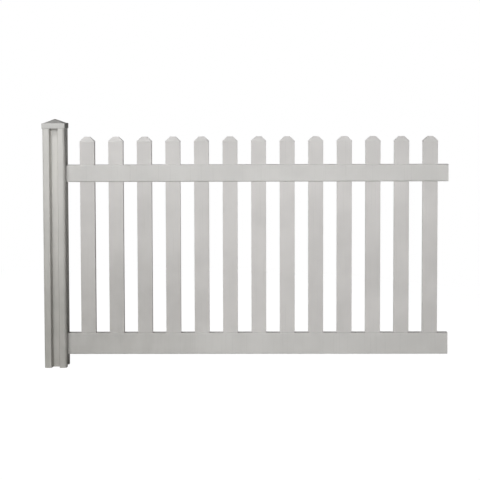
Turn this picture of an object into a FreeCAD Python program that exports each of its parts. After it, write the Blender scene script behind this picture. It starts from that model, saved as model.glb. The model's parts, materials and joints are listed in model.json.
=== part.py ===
import FreeCAD, Part
import Sketcher
import os
import re

# Picket fence panel: one square fluted post with a pyramid cap, two hollow
# rails and thirteen hollow pickets with hipped dog-ear caps.
# Millimetres, +Z up. The origin is on the post's axis at ground level,
# +X runs along the fence and the front faces -Y.

os.makedirs("parts", exist_ok=True)
doc = FreeCAD.newDocument("picket_fence_panel")

# Driving dimensions
driving = [
    ("bay_length", 1830.0, "from post axis to post axis, a 6 ft bay"),
    ("post_side", 100.0, "outside of the square post"),
    ("post_length", 1099.0, "ground to the top of the post, inside the cap"),
    ("post_wall", 3.5, "wall of the post"),
    ("post_corner", 12.0, "outer corner radius of the post"),
    ("flute_mouth", 38.0, "flute width at the face of the post"),
    ("flute_floor", 27.0, "flute width at its floor"),
    ("flute_depth", 26.0, "flute depth"),
    ("flute_lip", 2.5, "radius of the flute's lips"),
    ("cap_fit", 0.5, "clearance between the cap and the post, each side"),
    ("cap_wall", 1.5, "wall of the cap"),
    ("cap_skirt", 24.0, "height of the cap's skirt"),
    ("cap_ledge", 6.0, "flat ledge around the pyramid"),
    ("cap_rise", 19.0, "rise of the pyramid"),
    ("cap_point", 1.0, "width of the pyramid's blunt point"),
    ("cap_edge", 2.0, "radius of the cap's outer edges"),
    ("rail_depth", 34.0, "rail front to back"),
    ("rail_wall", 2.5, "wall of the rails"),
    ("rail_edge", 6.0, "outer edge radius of the rails"),
    ("rail_stub", 47.0, "rail beyond the last picket"),
    ("top_rail_drop", 186.0, "top of the post down to the top of the top rail"),
    ("top_rail_height", 77.5, "height of the top rail"),
    ("low_rail_base", 55.0, "ground to the underside of the bottom rail"),
    ("low_rail_height", 97.0, "height of the bottom rail"),
    ("picket_count", 13.0, "number of pickets"),
    ("picket_width", 66.5, "picket width"),
    ("picket_depth", 24.0, "picket front to back"),
    ("picket_wall", 1.8, "wall of the pickets"),
    ("picket_edge", 1.5, "outer edge radius of the pickets"),
    ("picket_drop", 85.5, "top of the post down to the top of the hollow picket"),
    ("ear_proud", 0.6, "picket cap's rim outside the picket, each side"),
    ("ear_rim", 5.0, "height of the picket cap's upright rim"),
    ("ear_rise", 20.0, "rise of the picket cap's slopes"),
    ("ear_run", 21.0, "run of the side slopes"),
    ("hip_run", 7.0, "run of the front and back slopes"),
    ("ear_wall", 1.8, "wall of the picket cap's plug"),
    ("plug_length", 14.0, "plug of the picket cap inside the picket"),
    ("slip_fit", 0.3, "clearance around what passes through or into a hollow"),
]
sheet = doc.addObject("Spreadsheet::Sheet", "sizes")
for row, (alias, value, note) in enumerate(driving, start=1):
    sheet.set("A%d" % row, note)
    sheet.set("B%d" % row, "%g" % value)
    sheet.setAlias("B%d" % row, alias)

# Sizes that follow from the driving ones
derived = [
    ("post_half", "post_side / 2"),
    ("cap_half", "post_half + cap_fit + cap_wall"),
    ("cap_top", "post_length + cap_wall"),
    ("cap_base", "cap_top - cap_skirt"),
    ("pyramid_half", "cap_half - cap_ledge"),
    ("picket_gap", "(bay_length - post_side - picket_count * picket_width) / (picket_count + 1)"),
    ("picket_pitch", "picket_width + picket_gap"),
    ("first_picket", "post_half + picket_gap"),
    ("row_length", "picket_pitch * (picket_count - 1)"),
    ("rail_start", "post_half - flute_depth - post_wall"),
    ("rail_end", "first_picket + row_length + picket_width + rail_stub"),
    ("top_rail_base", "post_length - top_rail_drop - top_rail_height"),
    ("picket_foot", "low_rail_base + rail_wall"),
    ("shoulder_level", "post_length - picket_drop"),
    ("ear_half_x", "picket_width / 2 + ear_proud"),
    ("ear_half_y", "picket_depth / 2 + ear_proud"),
    ("plug_half_x", "picket_width / 2 - picket_wall - slip_fit"),
    ("plug_half_y", "picket_depth / 2 - picket_wall - slip_fit"),
]
for row, (alias, formula) in enumerate(derived, start=len(driving) + 1):
    sheet.set("B%d" % row, "=" + formula)
    sheet.setAlias("B%d" % row, alias)
doc.recompute()

X_WAY = FreeCAD.Vector(1, 0, 0)
Z_WAY = FreeCAD.Vector(0, 0, 1)
NEAR = 1e-3


def bound(formula):
    """The formula with each named size pointed at the sheet."""
    return re.sub(r"([a-z_]+)", r"sizes.\1", formula)


def size(alias):
    """Value of one named size."""
    return float(sheet.get(alias))


def new_body(label):
    body = doc.addObject("PartDesign::Body", label)
    body.Label = label
    return body


def origin_plane(body, role):
    return next(item for item in body.Origin.OriginFeatures if item.Role == role)


def rectangle(left, right, low, high):
    """The four corners of a rectangle, from formulas for its four sides."""
    return [(left, low), (right, low), (right, high), (left, high)]


def centred(half_x, half_y):
    return rectangle("-(%s)" % half_x, half_x, "-(%s)" % half_y, half_y)


def polygon_sketch(body, name, role, corners, level="0"):
    """Closed outline parallel to an origin plane, each corner a pair of formulas."""
    sketch = body.newObject("Sketcher::SketchObject", name)
    sketch.AttachmentSupport = [(origin_plane(body, role), "")]
    sketch.MapMode = "FlatFace"
    sketch.setExpression("AttachmentOffset.Base.z", bound(level))
    count = len(corners)
    spread = [FreeCAD.Vector(i, i * i, 0) for i in range(count)]
    for i in range(count):
        sketch.addGeometry(Part.LineSegment(spread[i], spread[(i + 1) % count]), False)
    for i in range(count):
        sketch.addConstraint(Sketcher.Constraint("Coincident", i, 2, (i + 1) % count, 1))
    for i, corner in enumerate(corners):
        for kind, formula in zip(("DistanceX", "DistanceY"), corner):
            place = sketch.addConstraint(Sketcher.Constraint(kind, i, 1, 1.0))
            sketch.setExpression("Constraints[%d]" % place, bound(formula))
    return sketch


def pad(body, sketch, length):
    feature = body.newObject("PartDesign::Pad", sketch.Name + "_pad")
    feature.Profile = sketch
    feature.setExpression("Length", bound(length))
    doc.recompute()
    return feature


def pocket(body, sketch, length, turned=False):
    """Cut a sketch away over a length, and check that it cut."""
    before = body.Shape.Volume
    feature = body.newObject("PartDesign::Pocket", sketch.Name + "_pocket")
    feature.Profile = sketch
    feature.Reversed = turned
    feature.setExpression("Length", bound(length))
    doc.recompute()
    if feature.Shape.Volume >= before:
        raise RuntimeError(feature.Name + " removed nothing")
    return feature


def hip(body, name, middle, foot_x, foot_y, crown_x, crown_y, level, rise):
    """Four slopes up to a flat crown, from the half widths of the foot and the crown."""
    feature = body.newObject("PartDesign::AdditiveWedge", name)
    feature.AttachmentSupport = [(origin_plane(body, "XZ_Plane"), "")]
    feature.MapMode = "FlatFace"
    sides = {
        "Xmin": "%s - (%s)" % (middle, foot_x), "Xmax": "%s + (%s)" % (middle, foot_x),
        "X2min": "%s - (%s)" % (middle, crown_x), "X2max": "%s + (%s)" % (middle, crown_x),
        "Zmin": "-(%s)" % foot_y, "Zmax": foot_y,
        "Z2min": "-(%s)" % crown_y, "Z2max": crown_y,
        "Ymin": level, "Ymax": "%s + %s" % (level, rise)}
    for side, formula in sides.items():
        feature.setExpression(side, bound(formula))
    doc.recompute()
    return feature


def is_along(edge, way):
    """True where a straight edge runs along a direction."""
    run = edge.Vertexes[-1].Point - edge.Vertexes[0].Point
    return run.Length > NEAR and abs(abs(run.normalize().dot(way)) - 1) < NEAR


def lies_at(edge, axis, place):
    """True where both ends of an edge are that far from zero along an axis, either side."""
    return all(abs(abs(point.Point[axis]) - place) < NEAR for point in edge.Vertexes)


def fillet(body, wanted, radius):
    """Round the edges of a body's last feature for which wanted(edge) is true."""
    base = body.Tip
    edges = ["Edge%d" % i for i, edge in enumerate(base.Shape.Edges, start=1) if wanted(edge)]
    feature = body.newObject("PartDesign::Fillet", body.Label + "_fillet")
    feature.Base = (base, edges)
    feature.setExpression("Radius", bound(radius))
    doc.recompute()
    return feature


def hollow(body, wall, way, ends):
    """Shell the body inwards, open at the flat faces that lie at the given places."""
    base = body.Tip
    faces = []
    for i, face in enumerate(base.Shape.Faces, start=1):
        flat = abs(abs(face.normalAt(0, 0).dot(way)) - 1) < NEAR
        if flat and any(abs(face.CenterOfMass.dot(way) - place) < NEAR for place in ends):
            faces.append("Face%d" % i)
    feature = body.newObject("PartDesign::Thickness", body.Label + "_hollow")
    feature.Base = (base, faces)
    feature.Reversed = True
    feature.setExpression("Value", bound(wall))
    doc.recompute()
    return feature


def make_post():
    """Square tube with a tapered flute down each face and holes routed for the rails."""
    body = new_body("post")
    outline = polygon_sketch(body, "post_outline", "XY_Plane", centred("post_half", "post_half"))
    pad(body, outline, "post_length")
    fillet(body, lambda edge: is_along(edge, Z_WAY), "post_corner")
    floor_level = "flute_depth - post_half"
    flute = polygon_sketch(body, "post_flute", "XY_Plane", [
        ("-flute_mouth / 2", "-post_half"), ("flute_mouth / 2", "-post_half"),
        ("flute_floor / 2", floor_level), ("-flute_floor / 2", floor_level)])
    cut = pocket(body, flute, "post_length", turned=True)
    ring = body.newObject("PartDesign::PolarPattern", "post_flutes")
    ring.Originals = [cut]
    ring.Axis = (flute, ["N_Axis"])
    ring.Angle = 360
    ring.Occurrences = 4
    body.Tip = ring
    doc.recompute()
    hollow(body, "post_wall", Z_WAY, [0, size("post_length")])
    half, mouth = size("post_half"), size("flute_mouth") / 2
    fillet(body, lambda edge: is_along(edge, Z_WAY) and (
        lies_at(edge, 0, half) and lies_at(edge, 1, mouth)
        or lies_at(edge, 1, half) and lies_at(edge, 0, mouth)), "flute_lip")
    for rail in ("top_rail", "low_rail"):
        opening = polygon_sketch(body, "post_%s_hole" % rail, "YZ_Plane", rectangle(
            "-(rail_depth / 2 + slip_fit)", "rail_depth / 2 + slip_fit",
            "%s_base - slip_fit" % rail, "%s_base + %s_height + slip_fit" % (rail, rail)))
        pocket(body, opening, "post_side", turned=True)
    return body


def make_post_cap():
    """Thin cap: a square skirt over the post, a ledge and a low pyramid."""
    body = new_body("post_cap")
    skirt = polygon_sketch(body, "cap_skirt_outline", "XY_Plane",
                           centred("cap_half", "cap_half"), "cap_base")
    pad(body, skirt, "cap_skirt")
    hip(body, "cap_pyramid", "0", "pyramid_half", "pyramid_half", "cap_point / 2",
        "cap_point / 2", "cap_top", "cap_rise")
    hollow(body, "cap_wall", Z_WAY, [size("cap_base")])
    half, base = size("cap_half"), size("cap_base")
    fillet(body, lambda edge: (lies_at(edge, 0, half) or lies_at(edge, 1, half))
           and not lies_at(edge, 2, base), "cap_edge")
    return body


def make_rail(label, rail, slot_depth):
    """Rounded hollow rail, with a slot routed for every picket."""
    body = new_body(label)
    base, top = "%s_base" % rail, "%s_base + %s_height" % (rail, rail)
    outline = polygon_sketch(body, rail + "_outline", "YZ_Plane", rectangle(
        "-rail_depth / 2", "rail_depth / 2", base, top), "rail_start")
    pad(body, outline, "rail_end - rail_start")
    fillet(body, lambda edge: is_along(edge, X_WAY), "rail_edge")
    hollow(body, "rail_wall", X_WAY, [size("rail_start"), size("rail_end")])
    slot = polygon_sketch(body, rail + "_slot", "XY_Plane", rectangle(
        "first_picket - slip_fit", "first_picket + picket_width + slip_fit",
        "-(picket_depth / 2 + slip_fit)", "picket_depth / 2 + slip_fit"), top)
    cut = pocket(body, slot, slot_depth)
    row = body.newObject("PartDesign::LinearPattern", rail + "_slots")
    row.Originals = [cut]
    row.Direction = (slot, ["H_Axis"])
    row.setExpression("Length", bound("row_length"))
    row.setExpression("Occurrences", bound("picket_count"))
    body.Tip = row
    doc.recompute()
    return body


def make_picket(number):
    """Hollow upright that stands inside the bottom rail."""
    body = new_body("picket_%02d" % number)
    left = "first_picket + picket_pitch * %d" % (number - 1)
    outline = polygon_sketch(body, "picket_outline_%02d" % number, "XY_Plane", rectangle(
        left, left + " + picket_width", "-picket_depth / 2", "picket_depth / 2"), "picket_foot")
    pad(body, outline, "shoulder_level - picket_foot")
    hollow(body, "picket_wall", Z_WAY, [size("picket_foot"), size("shoulder_level")])
    face = size("picket_depth") / 2
    fillet(body, lambda edge: is_along(edge, Z_WAY) and lies_at(edge, 1, face), "picket_edge")
    return body


def make_picket_cap(number):
    """Hipped dog-ear cap: a rim on the picket, four slopes and a hollow plug inside."""
    body = new_body("picket_cap_%02d" % number)
    middle = "first_picket + picket_pitch * %d + picket_width / 2" % (number - 1)

    def section(name, half_x, half_y, level):
        corners = rectangle("%s - (%s)" % (middle, half_x), "%s + (%s)" % (middle, half_x),
                            "-(%s)" % half_y, half_y)
        return polygon_sketch(body, "%s_%02d" % (name, number), "XY_Plane", corners, level)

    rim = section("ear_rim_outline", "ear_half_x", "ear_half_y", "shoulder_level")
    pad(body, rim, "ear_rim")
    hip(body, "ear_hip_%02d" % number, middle, "ear_half_x", "ear_half_y",
        "ear_half_x - ear_run", "ear_half_y - hip_run", "shoulder_level + ear_rim", "ear_rise")
    foot_level = "shoulder_level - plug_length"
    plug = section("ear_plug", "plug_half_x", "plug_half_y", foot_level)
    pad(body, plug, "plug_length")
    bore = section("ear_bore", "plug_half_x - ear_wall", "plug_half_y - ear_wall", foot_level)
    pocket(body, bore, "plug_length + ear_rim", turned=True)
    return body


bodies = [make_post(), make_post_cap(),
          make_rail("top_rail", "top_rail", "top_rail_height"),
          make_rail("bottom_rail", "low_rail", "rail_wall + rail_edge")]
for number in range(1, int(size("picket_count")) + 1):
    bodies += [make_picket(number), make_picket_cap(number)]
doc.recompute()

# Every feature has to be sound before anything is written
for item in doc.Objects:
    if "Invalid" in item.State or "Error" in item.State:
        raise RuntimeError(item.Label + " failed")
for body in bodies:
    shape = body.Shape
    if shape.isNull() or not shape.isValid() or len(shape.Solids) != 1:
        raise RuntimeError(body.Label + " is not one sound solid")
    shape.exportStep("parts/%s.step" % body.Label)
    print("%-14s %9.1f cm3" % (body.Label, shape.Volume / 1000))
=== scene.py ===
import json
import math

import bpy
import numpy as np
from mathutils import Matrix, Vector


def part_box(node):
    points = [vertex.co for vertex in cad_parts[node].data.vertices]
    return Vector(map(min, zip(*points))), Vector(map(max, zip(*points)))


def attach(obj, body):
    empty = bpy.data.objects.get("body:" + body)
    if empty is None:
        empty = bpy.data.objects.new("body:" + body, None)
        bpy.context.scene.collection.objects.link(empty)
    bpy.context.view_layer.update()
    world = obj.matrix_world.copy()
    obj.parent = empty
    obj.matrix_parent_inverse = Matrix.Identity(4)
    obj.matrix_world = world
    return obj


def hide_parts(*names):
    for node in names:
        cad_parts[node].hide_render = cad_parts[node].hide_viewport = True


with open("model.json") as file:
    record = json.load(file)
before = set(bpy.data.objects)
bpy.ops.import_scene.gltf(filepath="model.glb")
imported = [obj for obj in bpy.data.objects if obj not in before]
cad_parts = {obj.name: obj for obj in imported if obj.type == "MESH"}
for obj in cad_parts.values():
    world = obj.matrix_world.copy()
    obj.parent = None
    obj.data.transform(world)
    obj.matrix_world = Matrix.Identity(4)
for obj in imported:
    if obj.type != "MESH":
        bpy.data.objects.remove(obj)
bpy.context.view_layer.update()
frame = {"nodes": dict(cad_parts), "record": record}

# White plastic picket fence panel: finishes, moulded caps, light and camera.
# Metres, in the frame's own axes: +X along the fence, the front faces -Y, +Z up.
picketCount = sum(name.startswith("picket_cap_") for name in frame["nodes"])
print("frame loaded:", len(frame["nodes"]), "nodes,", picketCount, "pickets")


# the photo's view: place in metres, turns in radians, lens in pixels of a 480 px frame
view = {
    "place": (0.87595, -4.82894, 1.16136),
    "yaw": 0.00918,             # to the left
    "dip": 0.04737,             # downwards
    "roll": -0.00277,
    "focal": 1074.96,
    "centre": (240, 160),       # where the lens axis meets the picture
    "frameSize": 480,
    "sensorWidth": 36,          # mm
}


def makeCamera(settings):
    yaw, dip, roll = settings["yaw"], settings["dip"], settings["roll"]
    forward = Vector((-math.sin(yaw) * math.cos(dip), math.cos(yaw) * math.cos(dip), -math.sin(dip)))
    level = Vector((math.cos(yaw), math.sin(yaw), 0))
    upright = level.cross(forward)
    right = level * math.cos(roll) + upright * math.sin(roll)
    up = right.cross(forward)
    turn = Matrix((right, up, -forward)).transposed().to_4x4()
    lens = bpy.data.cameras.new("camera")
    size = settings["frameSize"]
    lens.sensor_width = settings["sensorWidth"]
    lens.lens = settings["focal"] / size * settings["sensorWidth"]
    lens.shift_x = 0.5 - settings["centre"][0] / size
    lens.shift_y = settings["centre"][1] / size - 0.5
    lens.dof.use_dof = False
    camera = bpy.data.objects.new("camera", lens)
    camera.matrix_world = Matrix.Translation(settings["place"]) @ turn
    bpy.context.scene.collection.objects.link(camera)
    bpy.context.scene.camera = camera


makeCamera(view)
print("camera set")


# what every plastic finish shares, in metres and linear colour
plastic = {
    # colour of the painted shade towards the posts' feet
    "footShadeColour": (0.20, 0.19, 0.165, 1),
    "cloudSize": 0.22,          # soft patches of lighter and darker plastic
    "cloudDepth": 0.05,         # how much they change the colour
    "streakWidth": 0.006,       # run marks left by rain
    "streakLength": 0.30,
    "streakDepth": 0.05,
    "speckSize": 0.009,         # spacing of dust specks
    "speckDepth": 0.16,
    "speckRarity": 0.86,        # share of the spaces that stay clean
    "bayMiddle": 0.915,         # halfway between this post and where the next one would stand
    "footShadeReach": 1.15,          # painted shade round the posts' feet, fading this far up
    "footShadeRun": 0.75,            # along the ground it spreads further: distances count for less
    "footShadeFar": 0.42,            # how much of it the far end has
    "footShadePatch": (0.05, 0.05, 0.08),
    "footShadeRough": 0.5,           # how much rougher the plastic is where the painted shade lies
    "wearSize": 0.03,           # patches of duller and shinier plastic
    "wearDepth": 0.12,
    "lineWidth": 0.0012,        # die lines along an extrusion
    "lineLength": 0.6,
    "lineRelief": 0.00006,
    "grainSize": 0.0009,        # fine grain of a moulding
    "grainRelief": 0.00005,
    "waveSize": (0.09, 0.09, 0.16),  # the faint unevenness of large faces
    "waveRelief": 0.0006,
    "bendOfLight": 1.53,
}

# one finish for each kind of piece
finishes = {
    # each finish's last number is how strongly the painted shade near the posts' feet darkens it
    "post": {"tone": (0.700, 0.688, 0.660, 1), "lines": "Z", "gloss": 0.36, "footShadeDepth": 0.58},
    "cap": {"tone": (0.615, 0.608, 0.588, 1), "lines": None, "gloss": 0.30, "footShadeDepth": 0.10},
    "rail": {"tone": (0.712, 0.702, 0.684, 1), "lines": "X", "gloss": 0.38, "footShadeDepth": 0.48},
    "picket": {"tone": (0.724, 0.706, 0.692, 1), "lines": "Z", "gloss": 0.38, "footShadeDepth": 0.46},
    "picket_cap": {"tone": (0.734, 0.719, 0.704, 1), "lines": None, "gloss": 0.34, "footShadeDepth": 0.10},
}


def addNode(tree, kind, inputs=(), **settings):
    node = tree.nodes.new(kind)
    for name, value in settings.items():
        setattr(node, name, value)
    for slot, value in dict(inputs).items():
        if isinstance(value, bpy.types.NodeSocket):
            tree.links.new(value, node.inputs[slot])
        else:
            node.inputs[slot].default_value = value
    return node


def calc(tree, operation, first, second=0.0, clamp=False):
    node = addNode(tree, "ShaderNodeMath", {0: first, 1: second}, operation=operation, use_clamp=clamp)
    return node.outputs[0]


def spread(tree, value, low, high, start=0.0, end=1.0):
    node = addNode(tree, "ShaderNodeMapRange", {0: value, 1: low, 2: high, 3: start, 4: end},
                   interpolation_type="SMOOTHSTEP")
    return node.outputs[0]


def blendColour(tree, share, first, second):
    node = addNode(tree, "ShaderNodeMix", data_type="RGBA")
    for slot, value in ((0, share), (6, first), (7, second)):
        if isinstance(value, bpy.types.NodeSocket):
            tree.links.new(value, node.inputs[slot])
        else:
            node.inputs[slot].default_value = value
    return node.outputs[2]


def noiseAt(tree, place, sizes, detail=3.0):
    # noise whose patches measure sizes, in metres, along x, y and z
    scaled = addNode(tree, "ShaderNodeVectorMath", {0: place, 1: [1 / size for size in sizes]},
                     operation="MULTIPLY").outputs[0]
    return addNode(tree, "ShaderNodeTexNoise", {"Vector": scaled, "Scale": 1.0, "Detail": detail},
                   noise_dimensions="3D").outputs[0]


def plasticFinish(name, finish):
    material = bpy.data.materials.new(name + "_plastic")
    material.use_nodes = True
    tree = material.node_tree
    shader = tree.nodes["Principled BSDF"]
    place = addNode(tree, "ShaderNodeTexCoord").outputs["Object"]

    # soft clouding of the plastic's own colour
    cloud = noiseAt(tree, place, [plastic["cloudSize"]] * 3)
    low, high = 1 - plastic["cloudDepth"], 1 + plastic["cloudDepth"]
    cloudShade = spread(tree, cloud, 0.3, 0.7, low, high)

    # rain streaks run down, thin across and long in height
    wide, tall = plastic["streakWidth"], plastic["streakLength"]
    streak = noiseAt(tree, place, [wide, wide, tall], 2.0)
    streakShade = spread(tree, streak, 0.55, 0.75, 1.0, 1 - plastic["streakDepth"])

    # dust specks, one in a few cells
    cells = addNode(tree, "ShaderNodeTexVoronoi",
                    {"Vector": place, "Scale": 1 / plastic["speckSize"]}, feature="F1")
    dot = spread(tree, cells.outputs["Distance"], 0.05, 0.12, 1.0, 0.0)
    chosen = addNode(tree, "ShaderNodeSeparateColor", {0: cells.outputs["Color"]}).outputs[0]
    rare = calc(tree, "GREATER_THAN", chosen, plastic["speckRarity"])
    speck = calc(tree, "MULTIPLY", dot, rare)
    speckShade = calc(tree, "SUBTRACT", 1.0, calc(tree, "MULTIPLY", speck, plastic["speckDepth"]))

    shade = calc(tree, "MULTIPLY", calc(tree, "MULTIPLY", cloudShade, streakShade), speckShade)
    grey = addNode(tree, "ShaderNodeCombineColor", {0: shade, 1: shade, 2: shade}).outputs[0]
    base = addNode(tree, "ShaderNodeMix", data_type="RGBA", blend_type="MULTIPLY")
    base.inputs[0].default_value = 1.0
    base.inputs[6].default_value = finish["tone"]
    tree.links.new(grey, base.inputs[7])

    # painted shade: a darker tone towards the foot of either post, patchy, less at the far end
    at = addNode(tree, "ShaderNodeSeparateXYZ", {0: place}).outputs
    middle, reach = plastic["bayMiddle"], plastic["footShadeReach"]
    aside = calc(tree, "ABSOLUTE", calc(tree, "SUBTRACT", at["X"], middle))
    toPost = calc(tree, "MULTIPLY", calc(tree, "SUBTRACT", middle, aside), plastic["footShadeRun"])
    flat = addNode(tree, "ShaderNodeCombineXYZ", {0: toPost, 2: at["Z"]}).outputs[0]
    away = addNode(tree, "ShaderNodeVectorMath", {0: flat}, operation="LENGTH").outputs["Value"]
    fade = spread(tree, away, 0.0, reach, 1.0, 0.0)
    side = spread(tree, at["X"], 0.4 * middle, 1.6 * middle, 1.0, plastic["footShadeFar"])
    patch = noiseAt(tree, place, plastic["footShadePatch"], 5.0)
    footShadeMask = calc(tree, "MULTIPLY", calc(tree, "MULTIPLY", fade, side),
                  spread(tree, patch, 0.2, 0.8, 0.8, 1.0))
    # share of the painted shade, scaled for this finish
    footShade = calc(tree, "MULTIPLY", footShadeMask, finish["footShadeDepth"], clamp=True)
    colour = blendColour(tree, footShade, base.outputs[2], plastic["footShadeColour"])
    tree.links.new(colour, shader.inputs["Base Color"])

    wear = noiseAt(tree, place, [plastic["wearSize"]] * 3, 4.0)
    rough = spread(tree, wear, 0.3, 0.7, finish["gloss"], finish["gloss"] + plastic["wearDepth"])
    # the plastic is made rougher where the painted shade lies
    footShadeRough = calc(tree, "MULTIPLY", footShade, plastic["footShadeRough"])
    tree.links.new(calc(tree, "ADD", rough, footShadeRough), shader.inputs["Roughness"])
    shader.inputs["IOR"].default_value = plastic["bendOfLight"]

    # surface relief: die lines along an extrusion, or a moulding's fine grain
    if finish["lines"]:
        sizes = [plastic["lineLength"] if axis == finish["lines"] else plastic["lineWidth"]
                 for axis in "XYZ"]
        relief = plastic["lineRelief"]
    else:
        sizes, relief = [plastic["grainSize"]] * 3, plastic["grainRelief"]
    fine = noiseAt(tree, place, sizes, 2.0)
    bump = addNode(tree, "ShaderNodeBump", {"Height": fine, "Strength": 1.0, "Distance": relief})
    waves = noiseAt(tree, place, plastic["waveSize"], 1.0)
    sway = addNode(tree, "ShaderNodeBump", {"Height": waves, "Strength": 1.0,
                                            "Distance": plastic["waveRelief"],
                                            "Normal": bump.outputs[0]})
    tree.links.new(sway.outputs[0], shader.inputs["Normal"])
    return material


materials = {name: plasticFinish(name, finish) for name, finish in finishes.items()}
slotOfNode = {part["node"]: part["material_slot"] for part in frame["record"]["subparts"]}
for nodeName, node in frame["nodes"].items():
    node.data.materials.clear()
    node.data.materials.append(materials[slotOfNode[nodeName]])
print("finishes made:", ", ".join(materials))


def roundedRing(halfX, halfY, corner, level, sidePoints=6, cornerPoints=7):
    # rounded rectangle about the origin at one level: a quarter turn at each corner,
    # its centre inset by the radius, with the straight sides between filled evenly
    turns = np.linspace(0, np.pi / 2, cornerPoints)
    rows = []
    for quarter in range(4):
        signX = 1 if quarter in (0, 3) else -1
        signY = 1 if quarter in (0, 1) else -1
        angle = turns + quarter * np.pi / 2
        arc = np.stack([signX * (halfX - corner) + corner * np.cos(angle),
                        signY * (halfY - corner) + corner * np.sin(angle)], axis=1)
        rows.append(arc)
    corners = rows + [rows[0]]
    steps = np.linspace(0, 1, sidePoints + 2)[1:-1, None]
    outline = []
    for quarter in range(4):
        start, end = corners[quarter][-1], corners[quarter + 1][0]
        outline += [corners[quarter], start + (end - start) * steps]
    flat = np.concatenate(outline)
    return np.column_stack([flat, np.full(len(flat), level)])


def skinRings(name, rings, middle):
    # a closed skin: quads between neighbouring rings, and a fan at both ends
    count = len(rings[0])
    points = np.concatenate(rings + [rings[0].mean(0)[None], rings[-1].mean(0)[None]])
    points[:, :2] += middle
    here = np.arange(count)
    after = (here + 1) % count
    faces = []
    for row in range(len(rings) - 1):
        low, high = row * count, (row + 1) * count
        faces += np.column_stack([low + here, low + after, high + after, high + here]).tolist()
    foot, crown = len(rings) * count, len(rings) * count + 1
    top = (len(rings) - 1) * count
    faces += np.column_stack([np.full(count, foot), after, here]).tolist()
    faces += np.column_stack([np.full(count, crown), top + here, top + after]).tolist()
    mesh = bpy.data.meshes.new(name)
    mesh.from_pydata(points.tolist(), [], faces)
    mesh.validate()
    mesh.shade_smooth()
    piece = bpy.data.objects.new(name, mesh)
    bpy.context.scene.collection.objects.link(piece)
    return piece


def softenPath(path, radius, steps=5):
    # a profile of (inset x, inset y, level) points with each inner corner eased by a
    # quadratic curve that leaves and rejoins its two runs one radius from the corner
    path = np.array(path, float)
    eased = [path[0]]
    along = np.linspace(0, 1, steps)[:, None]
    for before, corner, later in zip(path[:-2], path[1:-1], path[2:]):
        lead, follow = before - corner, later - corner
        first = corner + lead * min(0.45, radius / np.linalg.norm(lead))
        last = corner + follow * min(0.45, radius / np.linalg.norm(follow))
        eased += list((1 - along) ** 2 * first + 2 * along * (1 - along) * corner + along ** 2 * last)
    eased.append(path[-1])
    return np.array(eased)


picketCap = {
    "rimHeight": 0.005,
    "rimProud": 0.0006,        # beyond the picket on each side
    "sideRun": 0.021,          # of the slopes to left and right
    "faceRun": 0.007,          # of the slopes to front and back
    "edge": 0.0011,            # how far an edge is eased
    "corner": 0.0022,          # radius of the upright corners
    "crownCorner": 0.0014,
    "tuckUnder": 0.001,        # how far the rim's underside reaches in past the picket's face
    "crownInset": (0.010, 0.0045),  # of the last ring, inside the flat crown's edge
}


def makePicketCap(number, settings):
    # rings of a rounded rectangle that shrink from the rim to the crown
    node = "picket_cap_%02d" % number
    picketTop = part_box("picket_%02d" % number)[1].z
    low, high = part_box(node)
    halfX, halfY = (high.x - low.x) / 2, (high.y - low.y) / 2
    middle = np.array([(high.x + low.x) / 2, (high.y + low.y) / 2])
    rimTop = picketTop + settings["rimHeight"]
    tuck = settings["rimProud"] + settings["tuckUnder"]
    crownX, crownY = settings["crownInset"]
    profile = softenPath([
        (tuck, tuck, picketTop), (0, 0, picketTop), (0, 0, rimTop),
        (settings["sideRun"], settings["faceRun"], high.z),
        (settings["sideRun"] + crownX, settings["faceRun"] + crownY, high.z)], settings["edge"])
    share = np.clip((profile[:, 2] - rimTop) / (high.z - rimTop), 0, 1)
    corner = settings["corner"] + (settings["crownCorner"] - settings["corner"]) * share
    rings = [roundedRing(halfX - insetX, halfY - insetY, min(radius, halfY - insetY - 1e-4), level)
             for (insetX, insetY, level), radius in zip(profile, corner)]
    piece = skinRings("picketTop%02d" % number, rings, middle)
    piece.data.materials.append(materials["picket_cap"])
    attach(piece, "root")
    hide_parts(node)


for number in range(1, picketCount + 1):
    makePicketCap(number, picketCap)
print("picket tops made:", picketCount)


postCap = {
    "skirtHeight": 0.024,
    "wall": 0.0015,
    "ledge": 0.006,            # flat border round the pyramid
    "edge": 0.0018,
    "corner": 0.003,
    "depthInside": 0.021,      # how far up the inside of the skirt is modelled
    "pointHalf": 0.0006,       # half the width of the blunt point
}


def makePostCap(settings):
    # the outside from the skirt's lip to the point, after the inside of the lip
    low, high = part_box("post_cap")
    halfX = (high.x - low.x) / 2
    middle = np.array([(high.x + low.x) / 2, (high.y + low.y) / 2])
    ledgeLevel = low.z + settings["skirtHeight"]
    wall, ledge = settings["wall"], settings["ledge"]
    insideLevel = low.z + settings["depthInside"]
    point = halfX - settings["pointHalf"]
    path = [(wall, insideLevel), (wall, low.z), (0, low.z), (0, ledgeLevel),
            (ledge, ledgeLevel), (point, high.z)]
    profile = softenPath([(inset, inset, level) for inset, level in path], settings["edge"])
    # the upright corners' radius shrinks with the rings near the point
    rings = []
    for insetX, insetY, level in profile:
        radius = min(settings["corner"], (halfX - insetX) * 0.5)
        rings.append(roundedRing(halfX - insetX, halfX - insetY, radius, level))
    piece = skinRings("postTop", rings, middle)
    piece.data.materials.append(materials["cap"])
    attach(piece, "root")
    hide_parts("post_cap")


makePostCap(postCap)
print("post top made")


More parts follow.
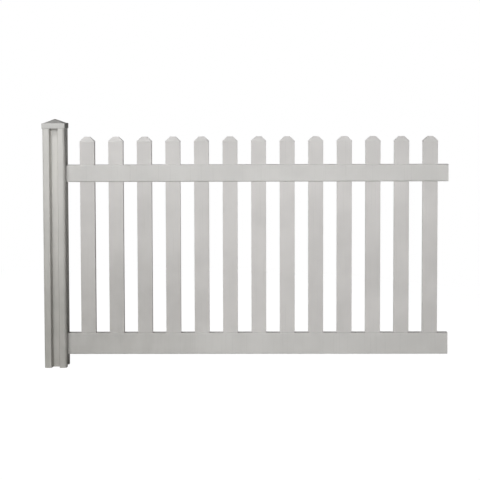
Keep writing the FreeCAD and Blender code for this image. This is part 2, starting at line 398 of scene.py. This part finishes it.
studio = {
    "floorSize": 60.0,
    "floorColour": (0.76, 0.76, 0.74, 1),
    "floorRough": 0.9,
    "lampTarget": (0.9, 0, 0.6),
    "keyPlace": (-3.2, -20.0, 7.2),
    "keySize": 8.0,
    "keyPower": 1690.0,
    "lowPlace": (2.0, -6.0, 0.3),
    "lowSize": 1.5,
    "lowPower": 30.0,
    "topPlace": (-3.5, -7.5, 10.0),
    "topSize": 4.0,
    "topPower": 500.0,
    "backPlace": (-20.0, 34.0, 7.0),
    "backSize": 6.0,
    "backPower": 6500.0,
    "skyMean": 0.012,          # brightness of the sky halfway round
    "skyLean": (-0.008, -0.008, 0.03),  # brighter towards this way, darker opposite
    "skyLeast": 0.0,
    "glossShare": 0.05,        # how much of the white background the plastic mirrors
    "shadowShare": 0.12,       # how much of the floor's own shading the camera sees
    "shadowReach": (1.2, 3.0),  # from the fence, where that share starts to fade and ends
}


def whiteShare(tree, settings):
    # 1 where the camera or clear material sees the background, less where gloss does
    path = addNode(tree, "ShaderNodeLightPath")
    mirrored = calc(tree, "MULTIPLY", path.outputs["Is Glossy Ray"], settings["glossShare"])
    seen = calc(tree, "MAXIMUM", path.outputs["Is Camera Ray"], path.outputs["Is Transmission Ray"])
    return calc(tree, "MAXIMUM", seen, mirrored)


def makeFloor(settings):
    half = settings["floorSize"] / 2
    mesh = bpy.data.meshes.new("floor")
    mesh.from_pydata([(-half, -half, 0), (half, -half, 0), (half, half, 0), (-half, half, 0)],
                     [], [(0, 1, 2, 3)])
    floor = bpy.data.objects.new("floor", mesh)
    bpy.context.scene.collection.objects.link(floor)
    material = bpy.data.materials.new("floor_pale")
    material.use_nodes = True
    tree = material.node_tree
    shader = tree.nodes["Principled BSDF"]
    shader.inputs["Base Color"].default_value = settings["floorColour"]
    shader.inputs["Roughness"].default_value = settings["floorRough"]
    # near the fence the glow makes way for a share of the floor's own shading, though the sum
    # stays past white there, so no shadow shows: a larger shadowShare or less glow would bring it
    place = addNode(tree, "ShaderNodeTexCoord").outputs["Object"]
    away = addNode(tree, "ShaderNodeVectorMath", {0: place}, operation="LENGTH").outputs["Value"]
    start, end = settings["shadowReach"]
    own = spread(tree, away, start, end, settings["shadowShare"], 0.0)
    lit = calc(tree, "ADD", 1.0, own)
    glow = addNode(tree, "ShaderNodeEmission", {"Color": (1, 1, 1, 1), "Strength": lit})
    share = calc(tree, "MULTIPLY", whiteShare(tree, settings), calc(tree, "SUBTRACT", 1.0, own))
    mixed = addNode(tree, "ShaderNodeMixShader", {0: share, 1: shader.outputs[0], 2: glow.outputs[0]})
    tree.links.new(mixed.outputs[0], tree.nodes["Material Output"].inputs["Surface"])
    mesh.materials.append(material)


def makeLamp(name, place, target, size, power):
    lamp = bpy.data.lights.new(name, "AREA")
    lamp.shape = "DISK"
    lamp.size = size
    lamp.energy = power
    lampObject = bpy.data.objects.new(name, lamp)
    lampObject.location = place
    lampObject.rotation_euler = (Vector(target) - Vector(place)).to_track_quat("-Z", "Y").to_euler()
    lampObject.visible_camera = False
    bpy.context.scene.collection.objects.link(lampObject)


def makeSky(settings):
    world = bpy.data.worlds.new("sky")
    bpy.context.scene.world = world
    world.use_nodes = True
    tree = world.node_tree
    background = tree.nodes["Background"]
    background.inputs["Color"].default_value = (1, 1, 1, 1)
    way = addNode(tree, "ShaderNodeTexCoord").outputs["Generated"]
    lean = addNode(tree, "ShaderNodeVectorMath", {0: way, 1: settings["skyLean"]},
                   operation="DOT_PRODUCT").outputs["Value"]
    dim = calc(tree, "MAXIMUM", calc(tree, "ADD", lean, settings["skyMean"]), settings["skyLeast"])
    white = whiteShare(tree, settings)
    own = calc(tree, "MULTIPLY", dim, calc(tree, "SUBTRACT", 1.0, white))
    tree.links.new(calc(tree, "ADD", own, white), background.inputs["Strength"])


makeFloor(studio)
for name in ("key", "low", "top", "back"):
    makeLamp(name + "Lamp", studio[name + "Place"], studio["lampTarget"],
             studio[name + "Size"], studio[name + "Power"])
makeSky(studio)
bpy.context.scene.view_settings.view_transform = "Standard"
print("studio set")
